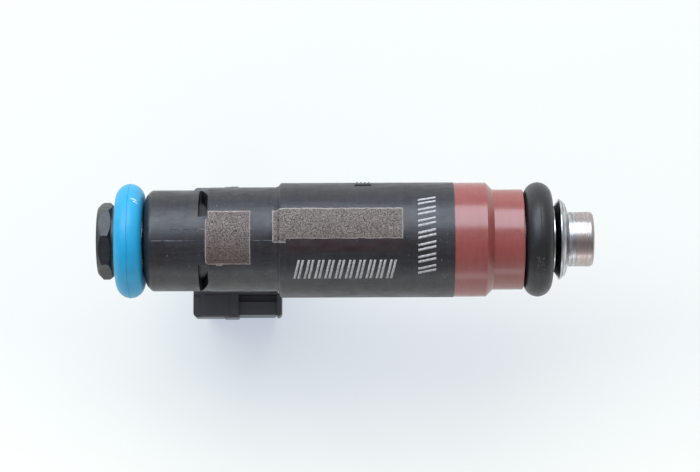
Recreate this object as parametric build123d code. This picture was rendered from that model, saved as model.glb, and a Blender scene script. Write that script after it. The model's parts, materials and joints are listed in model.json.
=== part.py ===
from build123d import *
import os
from math import sqrt

# A top-feed, port-type petrol fuel injector with a ball valve, in millimetres.
# The frame: +X runs along the injector's axis from the fuel rail to the nozzle, +Z is up, the
# electrical connector points to -Z, and the origin is on the axis at the manifold O-ring's centre.
# Every name that ends in _X is a station along the axis. Every name that ends in _R is a radius.

# ---- driving dimensions ----
SEAL_SPACING = 51.9  # rail O-ring centre to manifold O-ring centre
INLET_END_X = -55.95
NOZZLE_END_X = 7.05
CLOCKING = 7.0  # degrees that the clip slots are turned about the axis
FIT = 0.02  # radial clearance of the assembled, fixed pieces
SLIDE_FIT = 0.05  # radial clearance of the armature and of the ball in its guide
LIFT = 0.10  # travel of the armature, tube and ball
RESIDUAL_GAP = 0.05  # air gap left between armature and pole piece at full lift
SEAT_GAP = 0.02  # modelled clearance between the closed ball and its seat

# ---- O-rings: 14.6 mm outside diameter, 3.55 mm section ----
SEAL_SECTION_R = 1.775
SEAL_OUTER_R = 7.30
SEAL_MEAN_R = SEAL_OUTER_R - SEAL_SECTION_R
RAIL_SEAL_X = -SEAL_SPACING
MANIFOLD_SEAL_X = 0.0

# ---- moulded body: neck, clip slots, saddle over the connector, barrel over the coil ----
NECK_X = RAIL_SEAL_X + SEAL_SECTION_R + FIT
NECK_R = 6.45
NECK_SHOULDER = 1.0
NECK_SHOULDER_DROP = 2.0
NECK_ROUNDING = 0.7
SLOT_X = -43.0
SLOT_WIDTH = 1.2
SLOT_CORE_R = 5.05
SLOT_WEB = 6.1
SLOT_FLOOR = 1.0
SLOT_TAPER_START = 3.6
SLOT_TAPER_END = 0.2
SADDLE_X = SLOT_X + SLOT_WIDTH
SADDLE_R = 6.65
SADDLE_SHIFT = 0.15
SADDLE_LEAD = 1.0
SADDLE_RAMP = 0.15
BARREL_X = -32.95
BARREL_R = 7.33
BARREL_EDGE = 0.5
BARREL_STEP = 0.45
SLEEVE_X = -10.75

# ---- red-brown sleeve between the barrel and the manifold O-ring ----
SLEEVE_END_X = -1.9
SLEEVE_R = 7.28
SLEEVE_NOSE_R = 6.40
SLEEVE_STEP_X = -6.65
SLEEVE_NOSE_X = -5.75
SLEEVE_EDGE = 0.15

# ---- connector: a two-blade header on a pedestal, 2.8 mm blades on a 5 mm pitch ----
PLUG_X = -38.83
PLUG_MOUTH_Z = -26.0
PLUG_CORNER = 0.6
SHROUD_LENGTH = 9.9
SHROUD_WIDTH = 15.2
SHOULDER_Z = -12.5
SHOULDER_THICKNESS = 3.0
SHOULDER_LENGTH = 11.74
SHOULDER_WIDTH = 17.3
SHOULDER_EDGE = 0.2
SHOULDER_LIP = 1.0
SHOULDER_LIP_STEP = 0.2
NOTCH_DEPTH = 0.62
NOTCH_HALF_WIDTH = 5.3
SOCKET_LENGTH = 8.3
SOCKET_WIDTH = 13.4
SOCKET_ROOF_Z = -15.3
SOCKET_CORNER = 0.9
PEDESTAL_LENGTH = 9.6
PEDESTAL_WIDTH = 11.4
LATCH_X = -38.65
LATCH_END_X = -33.58
LATCH_DEPTH = 0.8
LATCH_POCKET_DEPTH = 1.6
LATCH_POCKET_WIDTH = 6.6
LATCH_INSET = 0.3
LATCH_RIB = 1.2
LATCH_RIB_PROUD = 0.12
LATCH_PAD = 2.0
KEY_WIDTH = 1.1
KEY_PROUD = 0.7
KEY_SPREAD = 3.6
KEY_SETBACK = 4.6

# ---- blades and coil leads ----
BLADE_WIDTH = 2.8
BLADE_THICKNESS = 0.8
BLADE_PITCH = 5.0
BLADE_SETBACK = 4.3
BLADE_POINT = 0.25
TAIL_WIDTH = 1.6
TAIL_THICKNESS = 0.6
TAIL_Z = -4.7
LEAD_R = 0.25
LEAD_OVERLAP = 0.3

# ---- fuel tube, rail-end cap and filter ----
TUBE_R = 3.73
TUBE_BORE_R = 2.70
TUBE_X = -53.95
TUBE_EDGE = 0.12
CAP_R = 4.96
CAP_SIDES = 8
CAP_TURN = -1.0  # degrees that its corners are turned about the axis
CAP_CHAMFER = 0.65
CAP_UNDERCUT = 0.45
CAP_FLANGE_X = -54.05
CAP_COLLAR_X = -53.8
CAP_COLLAR_R = 4.45
CAP_HOLE_R = 1.9
CAP_SPIGOT_X = -52.9
FILTER_X = -52.85
FILTER_RING = 1.2
FILTER_END_X = -44.5
FILTER_END_LENGTH = 0.8
FILTER_R = 2.1
FILTER_MESH = 0.1
FILTER_RIB = 0.5
FILTER_RIBS = 4

# ---- magnetic circuit ----
COIL_X = -31.6
HOUSING_R = 6.28
HOUSING_WALL = 0.48
WASHER_THICKNESS = 1.2
WASHER_SLOT_WIDTH = 7.0
WASHER_SLOT_R = 4.1
SHELL_R = 4.30
SHELL_WALL = 0.55
SHELL_END_X = -12.6
BOBBIN_END_X = -14.1
BOBBIN_FLANGE = 0.9
BOBBIN_WALL = 0.45
WINDING_R = 5.62
WINDING_ROUNDING = 0.2
POLE_X = -30.5
POLE_SPIGOT = 3.5
CORE_BORE_R = 1.5

# ---- armature, tube and ball ----
ARMATURE_X = -20.95
ARMATURE_END_X = -13.0
ARMATURE_EDGE = 0.15
ARMATURE_CROSS_HOLE_R = 0.7
ARMATURE_CROSS_HOLE_X = -17.9
SPRING_SEAT_X = -19.0
NEEDLE_R = 1.45
NEEDLE_BORE_R = 0.95
NEEDLE_X = -16.5
NEEDLE_CROSS_HOLE_R = 0.45
NEEDLE_CROSS_HOLE_X = 1.2
BALL_R = 1.75
BALL_X = 4.10

# ---- spring and its adjusting tube ----
ADJUSTER_X = -33.0
ADJUSTER_END_X = -27.0
ADJUSTER_BORE_R = 0.75
ADJUSTER_SLIT = 0.3
SPRING_WIRE_R = 0.175
SPRING_MEAN_R = 1.05
SPRING_TURNS = 7

# ---- valve body, O-ring retainer and the parts at the tip ----
BODY_X = -14.0
BODY_SHANK_R = 3.72
BODY_SHOULDER_R = 5.4
BODY_SHOULDER_X = -8.4
BODY_BORE_R = 2.6
TIP_X = 1.9
TIP_R = 3.48
TIP_ROUNDING = 0.45
TIP_BORE_R = 2.9
TIP_BORE_X = 3.5
TIP_LIP_R = 2.5
TIP_LIP = 0.35
RETAINER_SEAT_R = 3.2
RETAINER_HUB_R = 4.1
RETAINER_HUB_X = 2.05
RETAINER_RIM_R = 5.15
RETAINER_RIM_X = 2.7
RETAINER_BEVEL_X = 2.85
RETAINER_KNEE_X = 3.45
RETAINER_KNEE_R = 4.6
RETAINER_END_X = 3.85
RETAINER_END_R = 3.6
RETAINER_EDGE = 0.12
RETAINER_ROUNDING = 0.5
GUIDE_LENGTH = 0.85
GUIDE_SLOTS = 5
GUIDE_SLOT_R = 0.35
SEAT_X = 4.45
SEAT_END_X = 6.05
SEAT_THROAT_R = 0.75
SEAT_SEAL_R = 0.25
SEAT_SEAL_X = 5.3
ORIFICE_THICKNESS = 0.2
ORIFICE_R = 0.15
ORIFICE_CIRCLE_R = 0.45
ORIFICES = 4
BACKUP_BORE_R = 1.7
BACKUP_BEVEL = 0.25

NEAR = 0.001  # what counts as the same place
REACH = 1.0  # how far a cutting shape passes beyond what it cuts


# ---- helpers ----
def turned(*outline):
    """The solid that a closed outline of (station, radius) points makes around the axis."""
    return revolve(make_face(Polyline(*outline, close=True)), Axis.X, 360)


def tube(start, end, outer, inner):
    """A plain tube on the axis."""
    return turned((start, inner), (start, outer), (end, outer), (end, inner))


def rod(start, end, radius):
    """A plain rod on the axis."""
    return turned((start, 0), (start, radius), (end, radius), (end, 0))


def block(x_range, y_range, z_range):
    """A box between two corners, each range a (low, high) pair."""
    size = [high - low for low, high in (x_range, y_range, z_range)]
    middle = [(high + low) / 2 for low, high in (x_range, y_range, z_range)]
    return Pos(*middle) * Box(*size)


def rims(solid, station, radius):
    """The circular edges of a turned solid at this station and radius."""
    circles = solid.edges().filter_by(GeomType.CIRCLE)
    return [
        edge
        for edge in circles
        if abs(edge.radius - radius) < NEAR and abs(edge.arc_center.X - station) < NEAR
    ]


def along_axis(station, y, z, length, radius):
    """A round bar parallel to the axis, starting at a station."""
    return Pos(station + length / 2, y, z) * Rot(Y=90) * Cylinder(radius, length)


def across(station, radius, length):
    """A round bar across the axis, along Z, centred on it."""
    return Pos(station, 0, 0) * Cylinder(radius, length)


def around(count, shape, start=0.0):
    """Copies of a shape, evenly spaced about the axis."""
    return [Rot(X=start + 360 * index / count) * shape for index in range(count)]


def o_ring(station, mean_radius, section_radius):
    """An O-ring around the axis."""
    return Pos(station, 0, 0) * Rot(Y=90) * Torus(mean_radius, section_radius)


# ---- rail end ----
def make_inlet_cap():
    """The eight-sided plastic cap that keeps the rail O-ring on and lets the fuel in."""
    length = CAP_FLANGE_X - INLET_END_X
    prism = extrude(Plane.YZ * RegularPolygon(CAP_R, CAP_SIDES), length)
    bevels = turned(
        (INLET_END_X, 0),
        (INLET_END_X, CAP_R - CAP_CHAMFER),
        (INLET_END_X + CAP_CHAMFER, CAP_R),
        (CAP_FLANGE_X - CAP_UNDERCUT, CAP_R),
        (CAP_FLANGE_X, CAP_R - CAP_UNDERCUT),
        (CAP_FLANGE_X, 0),
    )
    head = Pos(INLET_END_X, 0, 0) * Rot(X=CAP_TURN) * prism & bevels
    collar = tube(CAP_FLANGE_X, CAP_COLLAR_X, CAP_COLLAR_R, TUBE_R + FIT)
    spigot = rod(CAP_FLANGE_X, CAP_SPIGOT_X, TUBE_BORE_R - FIT)
    tube_face = rod(CAP_FLANGE_X, TUBE_X, CAP_COLLAR_R)
    hole = rod(INLET_END_X, CAP_SPIGOT_X, CAP_HOLE_R)
    lead_in = turned(
        (INLET_END_X, 0),
        (INLET_END_X, CAP_HOLE_R + CAP_CHAMFER / 2),
        (INLET_END_X + CAP_CHAMFER / 2, CAP_HOLE_R),
        (INLET_END_X + CAP_CHAMFER / 2, 0),
    )
    return head + collar + spigot + tube_face - hole - lead_in


def make_filter_frame():
    """The plastic basket that carries the inlet screen: a ring, ribs and a closed end."""
    ring = tube(FILTER_X, FILTER_X + FILTER_RING, TUBE_BORE_R - FIT, CAP_HOLE_R - FIT)
    end = rod(FILTER_END_X - FILTER_END_LENGTH, FILTER_END_X, FILTER_R)
    rib = block(
        (FILTER_X + FILTER_RING / 2, FILTER_END_X - FILTER_END_LENGTH / 2),
        (-FILTER_RIB / 2, FILTER_RIB / 2),
        (CAP_HOLE_R - FIT, FILTER_R),
    )
    return ring + end + around(FILTER_RIBS, rib)


def make_filter_screen():
    """The woven screen inside the basket's ribs, as a thin tube."""
    start = FILTER_X + FILTER_RING
    end = FILTER_END_X - FILTER_END_LENGTH
    outer = CAP_HOLE_R - 2 * FIT
    return tube(start, end, outer, outer - FILTER_MESH)


def make_inlet_tube():
    """The steel fuel tube, from the cap to the pole piece."""
    body = tube(TUBE_X, POLE_X, TUBE_R, TUBE_BORE_R)
    return fillet(rims(body, TUBE_X, TUBE_R), TUBE_EDGE)


# ---- magnetic circuit ----
def make_pole_piece():
    """The fixed magnetic core, with a spigot inside the fuel tube."""
    spigot = rod(POLE_X - POLE_SPIGOT, POLE_X, TUBE_BORE_R - FIT)
    core = rod(POLE_X, ARMATURE_X - LIFT - RESIDUAL_GAP, TUBE_R)
    bore = rod(POLE_X - POLE_SPIGOT, ARMATURE_X, CORE_BORE_R)
    return spigot + core - bore


def make_valve_shell():
    """The non-magnetic sleeve that joins the pole piece to the valve body and guides the armature."""
    return tube(COIL_X + WASHER_THICKNESS, SHELL_END_X, SHELL_R, SHELL_R - SHELL_WALL)


def bobbin_span():
    """The stations of the bobbin's two outer faces."""
    return COIL_X + WASHER_THICKNESS + FIT, BOBBIN_END_X


def lead_places():
    """The (y, z) places of the two coil leads."""
    return [(side * BLADE_PITCH / 2, TAIL_Z) for side in (-1, 1)]


def make_coil_bobbin():
    """The plastic spool, with a hole in its rail-side flange for each lead."""
    start, end = bobbin_span()
    flange_r = HOUSING_R - HOUSING_WALL - 2 * FIT
    core_r = SHELL_R + FIT
    wall_r = core_r + BOBBIN_WALL
    spool = turned(
        (start, core_r),
        (start, flange_r),
        (start + BOBBIN_FLANGE, flange_r),
        (start + BOBBIN_FLANGE, wall_r),
        (end - BOBBIN_FLANGE, wall_r),
        (end - BOBBIN_FLANGE, flange_r),
        (end, flange_r),
        (end, core_r),
    )
    holes = [along_axis(start, y, z, BOBBIN_FLANGE, LEAD_R + FIT) for y, z in lead_places()]
    return spool - holes


def make_coil_winding():
    """The copper winding, as one solid."""
    start, end = bobbin_span()
    inner = SHELL_R + 2 * FIT + BOBBIN_WALL
    winding = tube(start + BOBBIN_FLANGE + FIT, end - BOBBIN_FLANGE - FIT, WINDING_R, inner)
    outer_rims = rims(winding, start + BOBBIN_FLANGE + FIT, WINDING_R)
    outer_rims += rims(winding, end - BOBBIN_FLANGE - FIT, WINDING_R)
    return fillet(outer_rims, WINDING_ROUNDING)


def make_flux_washer():
    """The steel washer that closes the coil housing, with a slot for the leads."""
    washer = tube(
        COIL_X, COIL_X + WASHER_THICKNESS, HOUSING_R - HOUSING_WALL - FIT, TUBE_R + FIT
    )
    slot = block(
        (COIL_X, COIL_X + WASHER_THICKNESS),
        (-WASHER_SLOT_WIDTH / 2, WASHER_SLOT_WIDTH / 2),
        (-HOUSING_R, -WASHER_SLOT_R),
    )
    return washer - slot


def make_coil_housing():
    """The steel can around the coil."""
    return tube(COIL_X, SLEEVE_X, HOUSING_R, HOUSING_R - HOUSING_WALL)


# ---- electrical path ----
def make_terminal(side):
    """One blade: the flat contact in the socket, bent over to a narrow tail towards the coil."""
    y = side * BLADE_PITCH / 2
    tip_z = PLUG_MOUTH_Z + BLADE_SETBACK
    blade = block(
        (PLUG_X - BLADE_THICKNESS / 2, PLUG_X + BLADE_THICKNESS / 2),
        (y - BLADE_WIDTH / 2, y + BLADE_WIDTH / 2),
        (tip_z, SOCKET_ROOF_Z + BLADE_WIDTH / 2),
    )
    point = chamfer(blade.faces().sort_by(Axis.Z)[0].edges(), BLADE_POINT)
    stem = block(
        (PLUG_X - BLADE_THICKNESS / 2, PLUG_X + BLADE_THICKNESS / 2),
        (y - TAIL_WIDTH / 2, y + TAIL_WIDTH / 2),
        (SOCKET_ROOF_Z, TAIL_Z + TAIL_THICKNESS / 2),
    )
    tail = block(
        (PLUG_X, COIL_X - LEAD_OVERLAP),
        (y - TAIL_WIDTH / 2, y + TAIL_WIDTH / 2),
        (TAIL_Z - TAIL_THICKNESS / 2, TAIL_Z + TAIL_THICKNESS / 2),
    )
    return point + stem + tail


def make_coil_lead(side):
    """One round lead, from a blade's tail through the washer slot to the winding."""
    start = COIL_X - LEAD_OVERLAP
    end = bobbin_span()[0] + BOBBIN_FLANGE
    return along_axis(start, side * BLADE_PITCH / 2, TAIL_Z, end - start, LEAD_R)


# ---- moulded body ----
def body_of_revolution():
    """The neck, the saddle, which is moulded slightly off the axis, and the barrel."""
    knee_x = NECK_X + NECK_SHOULDER / 3
    knee_r = NECK_R - NECK_SHOULDER_DROP / 3
    neck = turned(
        (NECK_X, 0),
        (NECK_X, NECK_R - NECK_SHOULDER_DROP),
        (knee_x, knee_r),
        (NECK_X + NECK_SHOULDER, NECK_R),
        (SADDLE_X, NECK_R),
        (SADDLE_X, 0),
    )
    knee = rims(neck, knee_x, knee_r)
    neck = fillet(knee + rims(neck, NECK_X + NECK_SHOULDER, NECK_R), NECK_ROUNDING)
    saddle = turned(
        (SADDLE_X - SADDLE_LEAD, 0),
        (SADDLE_X - SADDLE_LEAD, NECK_R - SADDLE_SHIFT),
        (SADDLE_X + SADDLE_RAMP, SADDLE_R),
        (BARREL_X - BARREL_STEP, SADDLE_R),
        (BARREL_X, SADDLE_R + SADDLE_SHIFT),
        (BARREL_X, 0),
    )
    barrel = rod(BARREL_X, SLEEVE_X, BARREL_R)
    barrel = fillet(rims(barrel, BARREL_X, BARREL_R), BARREL_EDGE)
    return neck + Pos(0, SADDLE_SHIFT, 0) * saddle + barrel


def clip_slots():
    """The two pockets that take a retaining clip, either side of a web, with a tapered floor."""
    profile = Polyline(
        (SLOT_X, BARREL_R + REACH),
        (SLOT_X + SLOT_WIDTH, BARREL_R + REACH),
        (SLOT_X + SLOT_WIDTH, SLOT_TAPER_START),
        (SLOT_X + SLOT_TAPER_END, SLOT_FLOOR),
        (SLOT_X, SLOT_FLOOR),
        close=True,
    )
    pocket = extrude(Plane.XZ * make_face(profile), -BARREL_R)
    pocket -= rod(SLOT_X - REACH, SADDLE_X + REACH, SLOT_CORE_R)
    pocket -= block((SLOT_X, SADDLE_X), (0, SLOT_WEB / 2), (0, BARREL_R + REACH))
    return [Rot(X=CLOCKING) * half for half in (pocket, mirror(pocket, Plane.XZ))]


def plug_shell():
    """The connector's outside: a pedestal, a wide shoulder with ribs and the shroud below it."""
    shroud = Pos(PLUG_X, 0, PLUG_MOUTH_Z) * extrude(
        RectangleRounded(SHROUD_LENGTH, SHROUD_WIDTH, PLUG_CORNER), SHOULDER_Z - PLUG_MOUTH_Z
    )
    shoulder = Pos(PLUG_X, 0, SHOULDER_Z - SHOULDER_THICKNESS) * extrude(
        RectangleRounded(SHOULDER_LENGTH, SHOULDER_WIDTH, PLUG_CORNER), SHOULDER_THICKNESS
    )
    shoulder = fillet(shoulder.faces().sort_by(Axis.Z)[-1].edges(), SHOULDER_EDGE)
    pedestal = Pos(PLUG_X, 0, SHOULDER_Z - NEAR) * extrude(
        RectangleRounded(PEDESTAL_LENGTH, PEDESTAL_WIDTH, PLUG_CORNER), -SHOULDER_Z - TUBE_R
    )
    rib = proud_rib(LATCH_X - LATCH_RIB, LATCH_X, LATCH_RIB_PROUD)
    pad = proud_rib(LATCH_X - LATCH_PAD, LATCH_X, -SHOULDER_EDGE)
    return shroud + shoulder + pedestal + rib + pad


def proud_rib(start, end, top_rise):
    """A rib across the shoulder's back and down its narrow ends, a little proud of both."""
    half_width = SHOULDER_WIDTH / 2 + LATCH_RIB_PROUD
    rib = block(
        (start, end),
        (-half_width, half_width),
        (SHOULDER_Z - SHOULDER_THICKNESS, SHOULDER_Z + top_rise),
    )
    rib = fillet(rib.edges().filter_by(Axis.Z), SHOULDER_EDGE)
    return fillet(rib.faces().sort_by(Axis.Z)[-1].edges(), LATCH_RIB_PROUD)


def shoulder_cuts():
    """The lip's step, the notch towards the nozzle and the latch recess at each narrow end."""
    shoulder_x = PLUG_X - SHOULDER_LENGTH / 2
    shoulder_end_x = PLUG_X + SHOULDER_LENGTH / 2
    above = SHOULDER_Z + REACH
    below = SHOULDER_Z - SHOULDER_THICKNESS - NEAR
    span = (LATCH_X, LATCH_END_X)
    side_y = SHOULDER_WIDTH / 2 - LATCH_INSET
    notch = Polyline(
        (shoulder_end_x - NOTCH_DEPTH, -NOTCH_HALF_WIDTH),
        (shoulder_end_x, -NOTCH_HALF_WIDTH - NOTCH_DEPTH),
        (shoulder_end_x, NOTCH_HALF_WIDTH + NOTCH_DEPTH),
        (shoulder_end_x - NOTCH_DEPTH, NOTCH_HALF_WIDTH),
        close=True,
    )
    cuts = [Pos(0, 0, below) * extrude(make_face(notch), above - below)]
    for side in (-1, 1):
        outer_y = side * SHOULDER_WIDTH
        pocket_y = side * LATCH_POCKET_WIDTH
        pedestal_y = side * PEDESTAL_WIDTH / 2
        cuts += [
            block(span, sorted((side * side_y, outer_y)), (below, above)),
            block(span, sorted((pedestal_y, outer_y)), (SHOULDER_Z - LATCH_DEPTH, above)),
            block(span, sorted((pedestal_y, pocket_y)), (SHOULDER_Z - LATCH_POCKET_DEPTH, above)),
            block(
                (shoulder_x - REACH, shoulder_x + SHOULDER_LIP),
                sorted((pedestal_y, outer_y)),
                (SHOULDER_Z - SHOULDER_LIP_STEP, above),
            ),
        ]
    return cuts


def plug_socket():
    """The space that the mating plug enters, less the two keys on its nozzle-side wall."""
    depth = SOCKET_ROOF_Z - PLUG_MOUTH_Z
    outline = RectangleRounded(SOCKET_LENGTH, SOCKET_WIDTH, SOCKET_CORNER)
    space = Pos(PLUG_X, 0, PLUG_MOUTH_Z) * extrude(outline, depth)
    wall_x = PLUG_X + SOCKET_LENGTH / 2
    keys = [
        block(
            (wall_x - KEY_PROUD, wall_x),
            (side * KEY_SPREAD - KEY_WIDTH / 2, side * KEY_SPREAD + KEY_WIDTH / 2),
            (PLUG_MOUTH_Z + KEY_SETBACK, SOCKET_ROOF_Z),
        )
        for side in (-1, 1)
    ]
    return space - keys


def make_overmold(embedded):
    """The black moulded body and connector, hollow for the metal parts inside it."""
    solid = body_of_revolution() + plug_shell()
    solid -= shoulder_cuts()
    solid -= plug_socket()
    solid -= clip_slots()
    solid -= rod(NECK_X, COIL_X, TUBE_R + FIT)
    solid -= rod(COIL_X, SLEEVE_X, HOUSING_R + FIT)
    for piece in embedded:
        solid -= piece
    return solid


# ---- nozzle end ----
def make_lower_sleeve():
    """The red-brown plastic sleeve that carries the manifold O-ring's inner face."""
    sleeve = turned(
        (SLEEVE_X, BODY_SHOULDER_R + FIT),
        (SLEEVE_X, SLEEVE_R),
        (SLEEVE_STEP_X, SLEEVE_R),
        (SLEEVE_NOSE_X, SLEEVE_NOSE_R),
        (SLEEVE_END_X, SLEEVE_NOSE_R),
        (SLEEVE_END_X, BODY_SHANK_R + FIT),
        (BODY_SHOULDER_X, BODY_SHANK_R + FIT),
        (BODY_SHOULDER_X, BODY_SHOULDER_R + FIT),
    )
    return fillet(rims(sleeve, SLEEVE_END_X, SLEEVE_NOSE_R), SLEEVE_EDGE)


def make_valve_body():
    """The steel body from the coil to the nozzle tip, rolled over at its end."""
    body = turned(
        (BODY_X, SHELL_R + FIT),
        (BODY_X, HOUSING_R - HOUSING_WALL - FIT),
        (SLEEVE_X, HOUSING_R - HOUSING_WALL - FIT),
        (SLEEVE_X, BODY_SHOULDER_R),
        (BODY_SHOULDER_X, BODY_SHOULDER_R),
        (BODY_SHOULDER_X, BODY_SHANK_R),
        (TIP_X, BODY_SHANK_R),
        (TIP_X, RETAINER_SEAT_R),
        (RETAINER_END_X, RETAINER_SEAT_R),
        (RETAINER_END_X, TIP_R),
        (NOZZLE_END_X, TIP_R),
        (NOZZLE_END_X, TIP_LIP_R),
        (NOZZLE_END_X - TIP_LIP, TIP_LIP_R),
        (NOZZLE_END_X - TIP_LIP, TIP_BORE_R),
        (TIP_BORE_X, TIP_BORE_R),
        (TIP_BORE_X, BODY_BORE_R),
        (SHELL_END_X, BODY_BORE_R),
        (SHELL_END_X, SHELL_R + FIT),
    )
    return fillet(rims(body, NOZZLE_END_X, TIP_R), TIP_ROUNDING)


def make_o_ring_retainer():
    """The bevelled steel ring that keeps the manifold O-ring on."""
    ring = turned(
        (TIP_X, RETAINER_SEAT_R + FIT),
        (TIP_X, RETAINER_HUB_R),
        (RETAINER_HUB_X, RETAINER_HUB_R),
        (RETAINER_RIM_X, RETAINER_RIM_R),
        (RETAINER_BEVEL_X, RETAINER_RIM_R),
        (RETAINER_KNEE_X, RETAINER_KNEE_R),
        (RETAINER_END_X, RETAINER_END_R),
        (RETAINER_END_X, RETAINER_SEAT_R + FIT),
    )
    ring = fillet(rims(ring, RETAINER_KNEE_X, RETAINER_KNEE_R), RETAINER_ROUNDING)
    return fillet(rims(ring, RETAINER_BEVEL_X, RETAINER_RIM_R), RETAINER_EDGE)


def make_ball_guide():
    """The disc that centres the ball, with slots for the fuel."""
    disc = tube(TIP_BORE_X, TIP_BORE_X + GUIDE_LENGTH, TIP_BORE_R - FIT, BALL_R + SLIDE_FIT)
    slot = along_axis(TIP_BORE_X, 0, BALL_R + GUIDE_SLOT_R / 2, GUIDE_LENGTH, GUIDE_SLOT_R)
    return disc - around(GUIDE_SLOTS, slot)


def make_valve_seat():
    """The seat: a 90 degree cone, a throat and a groove for its seal."""
    apex_x = BALL_X + (BALL_R + SEAT_GAP) * sqrt(2)
    outer = TIP_BORE_R - FIT
    groove = 2 * SEAT_SEAL_R + 2 * FIT
    seat = turned(
        (SEAT_X, apex_x - SEAT_X),
        (SEAT_X, outer),
        (SEAT_END_X, outer),
        (SEAT_END_X, SEAT_THROAT_R),
        (apex_x - SEAT_THROAT_R, SEAT_THROAT_R),
    )
    return seat - tube(
        SEAT_SEAL_X - groove / 2, SEAT_SEAL_X + groove / 2, TIP_BORE_R, outer - groove
    )


def make_orifice_plate():
    """The thin plate that meters the spray through a ring of small holes."""
    plate = rod(SEAT_END_X, SEAT_END_X + ORIFICE_THICKNESS, TIP_BORE_R - FIT)
    hole = along_axis(SEAT_END_X, 0, ORIFICE_CIRCLE_R, ORIFICE_THICKNESS, ORIFICE_R)
    return plate - around(ORIFICES, hole, 45)


def make_backup_ring():
    """The ring that the rolled tip presses against the orifice plate."""
    start = SEAT_END_X + ORIFICE_THICKNESS
    ring = tube(start, NOZZLE_END_X - TIP_LIP, TIP_BORE_R - FIT, BACKUP_BORE_R)
    return chamfer(rims(ring, NOZZLE_END_X - TIP_LIP, BACKUP_BORE_R), BACKUP_BEVEL)


# ---- moving parts and their spring ----
def make_armature():
    """The magnetic plunger: a spring pocket, a bore for the tube and a cross hole."""
    outer = SHELL_R - SHELL_WALL - SLIDE_FIT
    body = rod(ARMATURE_X, ARMATURE_END_X, outer)
    body = fillet(rims(body, ARMATURE_X, outer) + rims(body, ARMATURE_END_X, outer), ARMATURE_EDGE)
    body -= rod(ARMATURE_X, SPRING_SEAT_X, CORE_BORE_R)
    body -= rod(SPRING_SEAT_X, NEEDLE_X, NEEDLE_BORE_R)
    body -= rod(NEEDLE_X, ARMATURE_END_X, NEEDLE_R + FIT / 2)
    return body - across(ARMATURE_CROSS_HOLE_X, ARMATURE_CROSS_HOLE_R, 2 * (outer + REACH))


def make_armature_tube():
    """The tube from the armature to the ball, cross-drilled for fuel and seated on the ball."""
    end = BALL_X - sqrt(BALL_R**2 - NEEDLE_R**2)
    body = tube(NEEDLE_X, end, NEEDLE_R, NEEDLE_BORE_R)
    body -= Pos(BALL_X, 0, 0) * Sphere(BALL_R)
    hole = across(NEEDLE_CROSS_HOLE_X, NEEDLE_CROSS_HOLE_R, 2 * (NEEDLE_R + REACH))
    return body - around(2, hole, 45) - around(2, hole, 135)


def make_return_spring():
    """The helical spring between the adjusting tube and the armature."""
    length = SPRING_SEAT_X - ADJUSTER_END_X - 2 * SPRING_WIRE_R - 2 * FIT
    path = Helix(pitch=length / SPRING_TURNS, height=length, radius=SPRING_MEAN_R)
    section = Plane(origin=path @ 0, z_dir=path % 0) * Circle(SPRING_WIRE_R)
    coil = sweep(section, path, is_frenet=True)
    return Pos(ADJUSTER_END_X + SPRING_WIRE_R + FIT, 0, 0) * Rot(Y=90) * coil


def make_adjusting_tube():
    """The slit tube, pressed into the pole piece, that sets the spring's load."""
    body = tube(ADJUSTER_X, ADJUSTER_END_X, CORE_BORE_R - FIT, ADJUSTER_BORE_R)
    slit = block(
        (ADJUSTER_X, ADJUSTER_END_X), (-ADJUSTER_SLIT / 2, ADJUSTER_SLIT / 2), (0, CORE_BORE_R)
    )
    return body - slit


def make_all():
    """Every piece, by name."""
    terminals = {f"terminal_{n}": make_terminal(side) for n, side in ((1, -1), (2, 1))}
    leads = {f"coil_lead_{n}": make_coil_lead(side) for n, side in ((1, -1), (2, 1))}
    embedded = list(terminals.values()) + list(leads.values())
    seal_mean_r = TIP_BORE_R - 2 * FIT - SEAT_SEAL_R
    return {
        "inlet_cap": make_inlet_cap(),
        "upper_o_ring": o_ring(RAIL_SEAL_X, SEAL_MEAN_R, SEAL_SECTION_R),
        "filter_frame": make_filter_frame(),
        "filter_screen": make_filter_screen(),
        "inlet_tube": make_inlet_tube(),
        "pole_piece": make_pole_piece(),
        "valve_shell": make_valve_shell(),
        "coil_bobbin": make_coil_bobbin(),
        "coil_winding": make_coil_winding(),
        "flux_washer": make_flux_washer(),
        "coil_housing": make_coil_housing(),
        **terminals,
        **leads,
        "overmold": make_overmold(embedded),
        "lower_sleeve": make_lower_sleeve(),
        "lower_o_ring": o_ring(MANIFOLD_SEAL_X, SEAL_MEAN_R, SEAL_SECTION_R),
        "valve_body": make_valve_body(),
        "o_ring_retainer": make_o_ring_retainer(),
        "ball_guide": make_ball_guide(),
        "valve_seat": make_valve_seat(),
        "seat_seal": o_ring(SEAT_SEAL_X, seal_mean_r, SEAT_SEAL_R),
        "orifice_plate": make_orifice_plate(),
        "backup_ring": make_backup_ring(),
        "armature": make_armature(),
        "armature_tube": make_armature_tube(),
        "valve_ball": Pos(BALL_X, 0, 0) * Sphere(BALL_R),
        "return_spring": make_return_spring(),
        "adjusting_tube": make_adjusting_tube(),
    }


os.makedirs("parts", exist_ok=True)
for name, piece in make_all().items():
    export_step(piece, f"parts/{name}.step")
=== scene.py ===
import json
import math
import random

import bmesh
import bpy
from mathutils import Matrix, Vector, noise
from mathutils.bvhtree import BVHTree


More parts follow.
